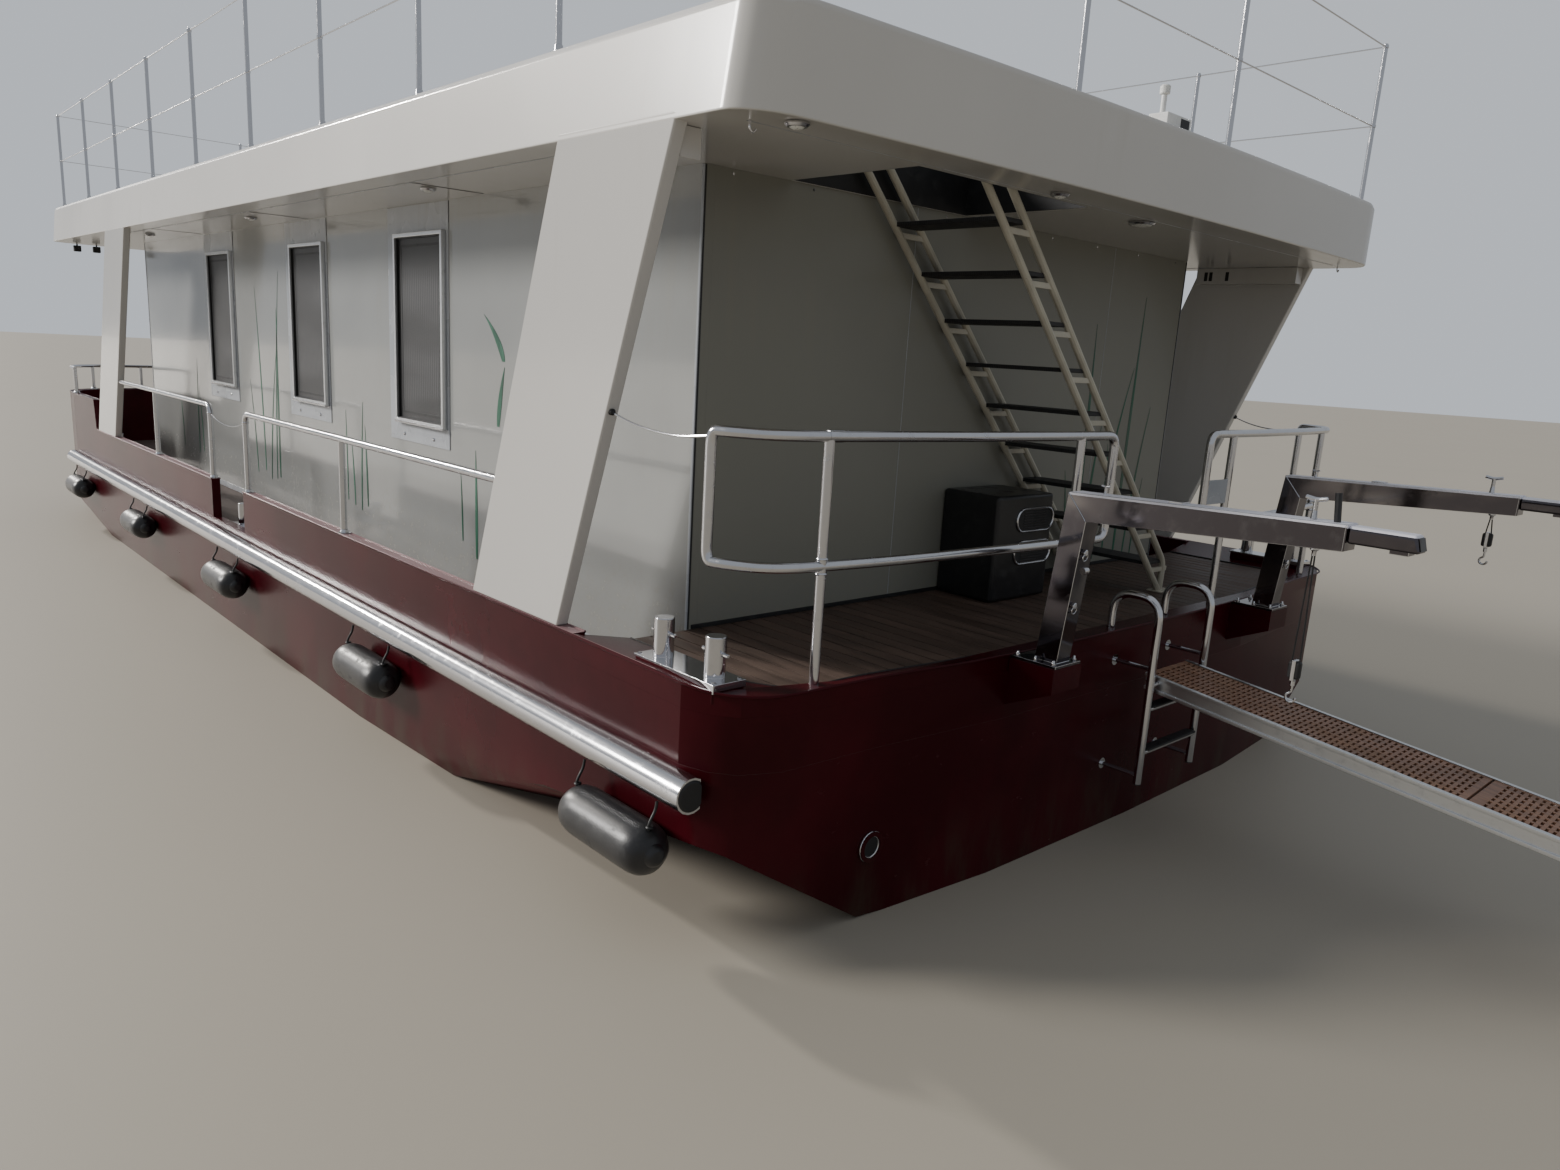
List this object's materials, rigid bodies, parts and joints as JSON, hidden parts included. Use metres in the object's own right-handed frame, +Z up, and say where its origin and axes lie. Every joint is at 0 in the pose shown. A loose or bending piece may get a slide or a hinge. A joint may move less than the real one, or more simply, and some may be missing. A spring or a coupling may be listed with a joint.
{
  "type": "houseboat",
  "caption": "Steel houseboat with a railed flat roof on slanted fins, a cabin between side walkways, a raised aft deck, davits, gangway and boarding ladder.",
  "frame": {"origin": "middle of the flat hull bottom", "axes": "+X towards the bow, +Y to port, +Z up"},
  "size_m": [16.24, 5.7206, 4.9313],
  "materials": {
    "hull_paint": "gloss wine red",
    "engine_grey": "painted grey",
    "deck_planks": "grooved brown decking",
    "polished_steel": "polished stainless",
    "fender_rubber": "smooth black",
    "cabin_panel": "smooth pale grey-green",
    "door_frame": "anodised",
    "superstructure_paint": "gloss off-white",
    "stair_paint": "cream tubes with black treads",
    "lamp_plastic": "white",
    "locker_black": "satin black",
    "gangway_boards": "brown perforated boards in aluminium channels",
    "propeller_bronze": "bronze",
    "rudder_steel": "black bottom paint"
  },
  "bodies": {
    "boat": {"hull": "hull_paint", "aft_platform": "hull_paint", "stern_rim": "hull_paint", "bulwark_port": "hull_paint", "bulwark_starboard": "hull_paint", "bulwark_bow": "hull_paint", "engine_block": "engine_grey", "aft_deck": "deck_planks", "rub_rail_port": "polished_steel", "rub_rail_starboard": "polished_steel", "roof_rail_port": "polished_steel", "roof_rail_starboard": "polished_steel", "roof_rail_aft": "polished_steel", "roof_rail_bow": "polished_steel", "side_rail_aft_port": "polished_steel", "side_rail_aft_starboard": "polished_steel", "side_rail_fore_port": "polished_steel", "side_rail_fore_starboard": "polished_steel", "stern_rail_port": "polished_steel", "stern_rail_starboard": "polished_steel", "bow_rail": "polished_steel", "boarding_ladder": "polished_steel", "davit_port": "polished_steel", "davit_starboard": "polished_steel", "bollard_aft_port": "polished_steel", "bollard_aft_starboard": "polished_steel", "bollard_mid_port": "polished_steel", "bollard_mid_starboard": "polished_steel", "bollard_bow_port": "polished_steel", "bollard_bow_starboard": "polished_steel", "fender_1_port": "fender_rubber", "fender_1_starboard": "fender_rubber", "fender_2_port": "fender_rubber", "fender_2_starboard": "fender_rubber", "fender_3_port": "fender_rubber", "fender_3_starboard": "fender_rubber", "fender_4_port": "fender_rubber", "fender_4_starboard": "fender_rubber", "fender_5_port": "fender_rubber", "fender_5_starboard": "fender_rubber", "cabin_side_port": "cabin_panel", "cabin_side_starboard": "cabin_panel", "cabin_aft_wall": "cabin_panel", "cabin_front_wall": "cabin_panel", "roof": "superstructure_paint", "fin_aft_port": "superstructure_paint", "fin_aft_starboard": "superstructure_paint", "fin_fore_port": "superstructure_paint", "fin_fore_starboard": "superstructure_paint", "roof_stair": "stair_paint", "stern_lamp": "lamp_plastic", "deck_box": "locker_black"},
    "front_door": {"front_door": "door_frame"},
    "gangway": {"gangway": "gangway_boards"},
    "propeller": {"propeller": "propeller_bronze"},
    "rudder": {"rudder": "rudder_steel"}
  },
  "joints": [
    {"name": "front_door_slide", "type": "slide", "parent": "boat", "child": "front_door", "axis": [0, 1, 0], "range_m": [0, 0.88]},
    {"name": "gangway_hinge", "type": "hinge", "parent": "boat", "child": "gangway", "pos_m": [-6.66, 0.02, 1.4], "axis": [0, 1, 0], "range_deg": [0, 90]},
    {"name": "propeller_spin", "type": "hinge", "parent": "boat", "child": "propeller", "pos_m": [-5.35, 0, 0.29], "axis": [1, 0, 0], "continuous": true},
    {"name": "rudder_turn", "type": "hinge", "parent": "boat", "child": "rudder", "pos_m": [-5.88, 0, 0.3], "axis": [0, 0, 1], "range_deg": [-35, 35]}
  ]
}
